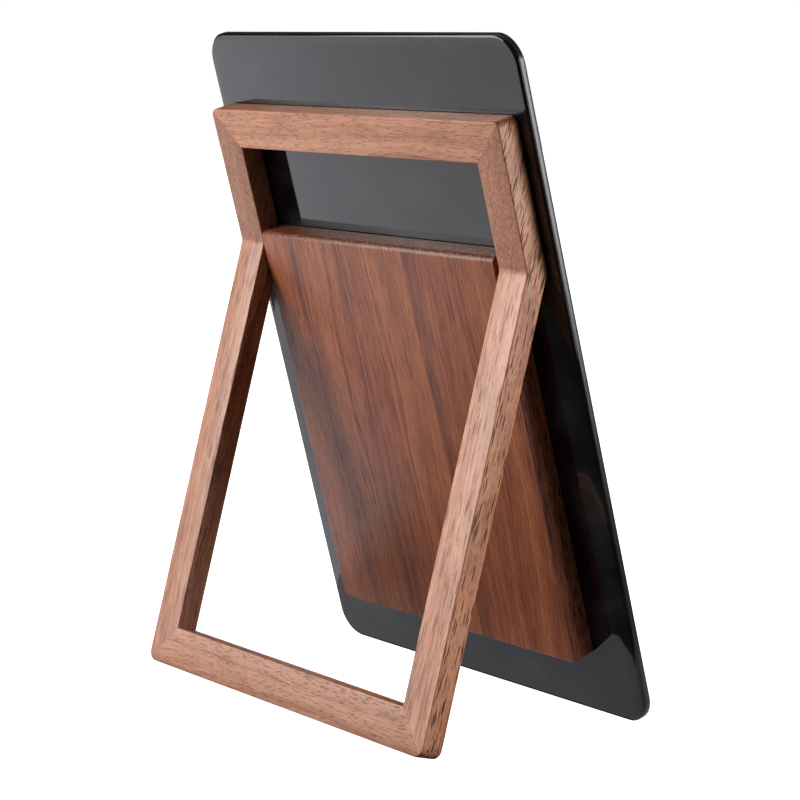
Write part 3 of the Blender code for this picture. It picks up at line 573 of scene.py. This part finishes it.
BLACK_GLOSS = polished("polished_black", (0.0015, 0.0015, 0.002), 0.03, 0.014)
RIM_METAL = satin("black_rim", (0.012, 0.012, 0.014), 0.22, grain=0.05)
FINISHES = {  # by the CAD nodes' material slots
    "cover_glass": screen_glass(),
    "display": satin("display_module", (0.16, 0.17, 0.18), 0.35, metallic=0.6),
    "light_guide": satin("light_guide", (0.62, 0.64, 0.66), 0.25),
    "board_green": circuit_board(),
    "shield_tin": satin("tinned_shield", (0.60, 0.60, 0.58), 0.32, metallic=1.0),
    "steel": satin("zinc_steel", (0.46, 0.47, 0.49), 0.34, metallic=1.0),
    "brass": satin("brass", (0.62, 0.42, 0.16), 0.30, metallic=1.0),
    "black_plastic": satin("moulded_black", (0.018, 0.018, 0.019), 0.48),
    "washer_nylon": satin("black_nylon", (0.026, 0.026, 0.028), 0.55),
    "ribbon_film": satin("ribbon_film", (0.48, 0.20, 0.055), 0.28),
    "tape_foam": satin("foam_tape", (0.045, 0.045, 0.045), 0.85),
    "dowel_beech": satin("beech_dowel", (0.50, 0.33, 0.19), 0.6),
    "rim_metal": RIM_METAL,
    "black_gloss": BLACK_GLOSS,
    "housing_walnut": HOUSING_WALNUT,
}


def finish_cad_nodes():
    """Give each CAD node the finish of its slot, where there is one."""
    for node, slot in SLOTS.items():
        finish = FINISHES.get(slot)
        if finish:
            materials = frame["nodes"][node].data.materials
            materials.clear()
            materials.append(finish)


# ---------------------------------------------------------------- plate
CORNER = 12.0 * MM  # plate corner radius
CORNER_STEPS = 28
BREAK = 0.09 * MM  # broken edge on the polished panel
PANEL_CHAMFER = 0.9 * MM
RIM_EDGE = 0.2 * MM
GLASS_LAP = 0.12 * MM  # how far the glass hides the inside of the rim's wall


def make_back_panel():
    box = plate_box("back_panel")
    panel = rounded_slab("rear_panel", box.low, box.high, CORNER, CORNER_STEPS)
    bevel(panel, lies_at(1, box.high.y), PANEL_CHAMFER, 1)
    bevel_sharp(panel, BREAK, 2, angle=30)
    settle(panel, PLATE, BLACK_GLOSS, "display", "back_panel", smooth=20)


def clear_of_edge(box, margin):
    """A test for faces that keep clear of a box's edge, seen along Y."""
    room_x = box.size.x / 2 - margin + TOUCH
    room_z = box.size.z / 2 - margin + TOUCH
    middle = box.middle
    return lambda corners: all(
        abs(corner.x - middle.x) < room_x and abs(corner.z - middle.z) < room_z
        for corner in corners
    )


def make_rim():
    """The plate's edge: a shallow tray that the glass lies in."""
    box = plate_box("mid_frame")
    glass = plate_box("front_glass")
    screen = plate_box("lcd_panel")
    rim = rounded_slab("edge_frame", box.low, box.high, CORNER, CORNER_STEPS)
    bevel_sharp(rim, RIM_EDGE, 3)
    wall = (box.size.x - glass.size.x) / 2 - GLASS_LAP
    rear_wall = wall + (glass.size.x - screen.size.x) / 2 + wall / 4
    front = lies_at(1, box.low.y)
    inset(rim, front, wall)
    inset(rim, lies_at(1, box.high.y), rear_wall)
    push(rim, both(front, clear_of_edge(box, wall)), (0, screen.low.y - box.low.y, 0))
    settle(rim, PLATE, RIM_METAL, "display", "mid_frame")


# ---------------------------------------------------------------- stand
ARRIS = 0.55 * MM
CREST_CORNER = 3.0 * MM
FOOT_CORNER = 4.5 * MM
BEND_BLEND = 5.0 * MM  # radius inside the bend
MITRE_GAP = 0.03 * MM
FOOT = Box("bottom_rail", LEG).low.z
CREST = Box("top_rail", UPPER).high.z
BAR = Box("side_bar_left", UPPER)
HALF_DEPTH = -BAR.low.y
OUTER = BAR.high.x
BAR_WIDTH = BAR.size.x


def mitre(piece, side, end, keep_bar, up):
    """Slice a corner at 45 degrees. up is -1 at the foot and 1 at the crest."""
    out = Vector((side, 0, 0))
    run = Vector((0, 0, up))
    place = out * (OUTER - BAR_WIDTH / 2) + Vector((0, 0, end - up * BAR_WIDTH / 2))
    away = (run - out).normalized() if keep_bar else (out - run).normalized()
    slice_off(piece, place - away * MITRE_GAP / 2, away)


def make_side_bar(side, word):
    """The bent side bar: an upper length, and a leg that turns off it at the hinge."""
    low_x, high_x = sorted((side * (OUTER - BAR_WIDTH), side * OUTER))
    bar = add_block(
        f"stand_side_{word}", (low_x, -HALF_DEPTH, -BAR_WIDTH), (high_x, HALF_DEPTH, CREST)
    )
    half = BEND / 2
    fold = Vector((0, math.sin(half), -math.cos(half)))
    leg = Vector((0, math.sin(BEND), -math.cos(BEND)))
    slice_off(bar, (0, 0, 0), fold)
    push(bar, lies_in(fold, 0), leg * (BAR_WIDTH - FOOT))
    slice_off(bar, leg * -FOOT, leg)
    fold_line = both(lies_in(fold, 0), runs_along(0))
    front_line = both(fold_line, lambda ends: ends[0].y < 0)
    back_line = both(fold_line, lambda ends: ends[0].y > 0)
    bevel(bar, front_line, HALF_DEPTH * math.tan(half), 10)
    bevel(bar, back_line, BEND_BLEND * math.tan(half), 8)

    outer = lies_at(0, side * OUTER)
    bevel(bar, both(outer, lies_at(2, CREST)), CREST_CORNER, 10)
    bevel(bar, both(outer, lies_in(leg, -FOOT)), FOOT_CORNER, 12)
    bevel_sharp(bar, ARRIS, 4)
    mitre(bar, side, CREST, True, 1)
    undo_bend = Matrix.Rotation(-BEND, 4, "X")
    bar.data.transform(undo_bend)
    mitre(bar, side, FOOT, True, -1)
    bar.data.transform(undo_bend.inverted())
    settle(bar, UPPER, STAND_WALNUT[word], "stand", f"side_bar_{word}", smooth=40)


def make_rail(word, axes, end, up, corner):
    """A straight rail between the side bars, mitred at both ends."""
    low_z, high_z = sorted((end, end - up * BAR_WIDTH))
    rail = add_block(
        f"stand_{word}_rail", (-OUTER, -HALF_DEPTH, low_z), (OUTER, HALF_DEPTH, high_z)
    )
    bevel(rail, both(runs_along(1), lies_at(2, end)), corner, 12)
    bevel_sharp(rail, ARRIS, 4)
    for side in (-1, 1):
        mitre(rail, side, end, False, up)
    settle(rail, axes, STAND_WALNUT[word], "stand", f"{word}_rail", smooth=40)


# ---------------------------------------------------------------- housing
HOUSING_CORNER = 2.0 * MM  # the two lower corners
HOUSING_FILLET = 2.5 * MM  # rounded top edge at the back
HOUSING_ARRIS = 0.5 * MM
POCKET_SIDE = 5.0 * MM  # walls around the pocket
POCKET_TOP = 3.0 * MM
POCKET_BOTTOM = 4.0 * MM
POCKET_DEPTH = 8.0 * MM
POCKET_CORNER = 0.5 * MM
OVERCUT = 1.0 * MM  # how far a cutter runs past the wood
PORT_GAP = 0.15 * MM
PORT_OVERCUT = 3.0 * MM
BUSH_HOLE = 2.8 * MM  # radius
BUSH_HOLE_EDGE = 0.1 * MM
SOUND_SLOTS = 6
SOUND_PITCH = 4.5 * MM
SOUND_DEPTH = 5.5 * MM  # from the plate to the slots' middles
SOUND_SLOT = Vector((2.0 * MM, 3.0 * MM, POCKET_BOTTOM + OVERCUT))
SOUND_CORNER = 0.6 * MM
SPEAKER_X = -46.0 * MM


def cut_ports(shell):
    """The slot in the bottom face that the port plate fills."""
    ports = plate_box("port_plate")
    grow = Vector((PORT_GAP, PORT_GAP, PORT_OVERCUT))
    slot = add_block("port_cut", ports.low - grow, ports.high + grow)
    bevel(slot, runs_along(2), ports.size.y / 4, 8)
    carve(shell, slot)


def cut_pocket(shell, box):
    """The room for the electronics, open towards the plate."""
    low = Vector((box.low.x + POCKET_SIDE, box.low.y - OVERCUT, box.low.z + POCKET_BOTTOM))
    high = Vector((box.high.x - POCKET_SIDE, POCKET_DEPTH, box.high.z - POCKET_TOP))
    pocket = add_block("pocket_cut", low, high)
    bevel(pocket, runs_along(1), POCKET_CORNER, 6)
    carve(shell, pocket)


def cut_hinge_bores(shell, box):
    pivot = PLATE.inverted() @ PIVOT
    for side in (-1, 1):
        middle = (side * (box.high.x - POCKET_SIDE / 2), pivot.y, pivot.z)
        bore = add_rod("hinge_bore", middle, BUSH_HOLE, POCKET_SIDE + OVERCUT)
        bevel_sharp(bore, BUSH_HOLE_EDGE, 1)
        carve(shell, bore)


def cut_sound_slots(shell, box):
    for count in range(SOUND_SLOTS):
        x = SPEAKER_X + (count - (SOUND_SLOTS - 1) / 2) * SOUND_PITCH
        middle = Vector((x, SOUND_DEPTH, box.low.z + POCKET_BOTTOM / 2))
        slot = add_block("sound_cut", middle - SOUND_SLOT / 2, middle + SOUND_SLOT / 2)
        bevel(slot, runs_along(2), SOUND_CORNER, 4)
        carve(shell, slot)


def make_housing():
    """The walnut box on the plate's back."""
    box = plate_box("housing")
    shell = add_block("walnut_housing", box.low, box.high)
    bevel(shell, both(lies_at(1, box.high.y), lies_at(2, box.high.z)), HOUSING_FILLET, 12)
    lower = both(runs_along(1), lambda ends: ends[0].z < box.middle.z)
    bevel(shell, lower, HOUSING_CORNER, 10)
    bevel_sharp(shell, HOUSING_ARRIS, 4)
    cut_ports(shell)
    cut_pocket(shell, box)
    cut_hinge_bores(shell, box)
    cut_sound_slots(shell, box)
    settle(shell, PLATE, HOUSING_WALNUT, "display", "housing")


make_back_panel()
make_rim()
make_housing()
for side, word in ((1, "left"), (-1, "right")):
    make_side_bar(side, word)
make_rail("top", UPPER, CREST, 1, CREST_CORNER)
make_rail("bottom", LEG, FOOT, -1, FOOT_CORNER)
finish_cad_nodes()


# ---------------------------------------------------------------- floor, light and camera
CAMERA_PLACE = Vector((-785.3, 611.6, 252.2)) * MM
CAMERA_FORWARD = Vector((0.78079, -0.61107, -0.13023))
CAMERA_UP = Vector((0.11775, -0.06078, 0.99118))
CAMERA_LENS = 111.19
SENSOR_WIDTH = 36
FLOOR_SIZE = 12
FLOOR_GLOW = 1.3
CARD_TINT = (0.94, 0.93, 1.0)
CARD_HEIGHT = 1.0 * MM
AIM = Vector((0, 0, 0.12))  # what the soft lights face: the middle of the object
AMBIENT = 0.06
OVERHEAD = 0.1


def stand_in_scene(name, data):
    holder = bpy.data.objects.new(name, data)
    bpy.context.scene.collection.objects.link(holder)
    return holder


def make_camera():
    camera = stand_in_scene("camera", bpy.data.cameras.new("camera"))
    back = -CAMERA_FORWARD.normalized()
    right = CAMERA_UP.cross(back).normalized()
    up = back.cross(right)
    turn = Matrix((right, up, back)).transposed().to_4x4()
    camera.matrix_world = Matrix.Translation(CAMERA_PLACE) @ turn
    camera.data.lens = CAMERA_LENS
    camera.data.sensor_width = SENSOR_WIDTH
    camera.data.clip_start = 0.01
    bpy.context.scene.camera = camera


def make_floor():
    """A pale sweep. The polished faces see only the cards that lie on it."""
    bpy.ops.object.select_all(action="DESELECT")
    bpy.ops.mesh.primitive_plane_add(size=FLOOR_SIZE)
    floor = bpy.context.active_object
    floor.name = "floor"
    paint = Paint("pale_floor", roughness=0.9, emission_strength=FLOOR_GLOW)
    faint = paint.noise(paint.place(unit=1.0), scale=5.0)
    pale = paint.mix(faint, (0.38, 0.38, 0.38), (0.42, 0.42, 0.42))
    floor.data.materials.append(paint.coat(base_color=pale, emission_color=(1, 1, 1)))
    floor.visible_diffuse = False
    floor.visible_glossy = False


def add_lamp(name, shape, width, length, radiance):
    """An area light of even brightness, so that a larger one gives more light."""
    lamp = bpy.data.lights.new(name, "AREA")
    lamp.shape = shape
    lamp.size = width
    lamp.size_y = length
    lamp.energy = radiance * math.pi * width * length
    return stand_in_scene(name, lamp)


def add_card(name, middle, size, radiance):
    """A bluish white card on the floor, seen only in reflections."""
    card = add_lamp(name, "RECTANGLE", *size, radiance)
    card.data.color = CARD_TINT
    card.data.diffuse_factor = 0.0
    card.location = (*middle, CARD_HEIGHT)
    card.rotation_euler = (math.pi, 0, 0)
    card.visible_camera = False


def add_soft_light(name, towards, distance, size, radiance):
    """A square soft light in a direction from the middle of the object, facing it."""
    light = add_lamp(name, "SQUARE", size, size, radiance)
    light.location = AIM + Vector(towards).normalized() * distance
    light.rotation_euler = (AIM - light.location).to_track_quat("-Z", "Y").to_euler()


def add_overhead():
    """Wide, even light from above."""
    lamp = bpy.data.lights.new("overhead", "SUN")
    lamp.energy = OVERHEAD
    lamp.angle = math.radians(90)
    stand_in_scene("overhead", lamp)


def make_world():
    """White to look at, and a weaker, even light on everything."""
    world = bpy.data.worlds.new("studio")
    bpy.context.scene.world = world
    world.use_nodes = True
    tree = world.node_tree
    back = tree.nodes["Background"]
    path = tree.nodes.new("ShaderNodeLightPath")
    bright = tree.nodes.new("ShaderNodeMapRange")
    bright.inputs["To Min"].default_value = AMBIENT
    bright.inputs["To Max"].default_value = 1.0
    tree.links.new(path.outputs["Is Camera Ray"], bright.inputs["Value"])
    tree.links.new(bright.outputs[0], back.inputs["Strength"])
    back.inputs["Color"].default_value = (1.0, 1.0, 1.0, 1.0)
    bpy.context.scene.view_settings.view_transform = "Standard"


make_camera()
make_floor()
make_world()
add_overhead()
add_soft_light("softbox_left", (0.58, 0.74, 0.32), 3.0, 2.5, 4.6)
add_soft_light("strip_left", (0.66, 0.73, 0.26), 1.7, 0.5, 12.0)
add_soft_light("softbox_right", (-0.88, -0.45, 0.18), 1.3, 0.7, 8.3)
add_card("card_behind", (0.79, 0.65), (1.22, 1.0), 1.6)
add_card("card_left", (0.545, -0.05), (0.81, 0.36), 1.1)
add_card("card_under", (-0.02, -0.10), (0.32, 0.16), 0.5)
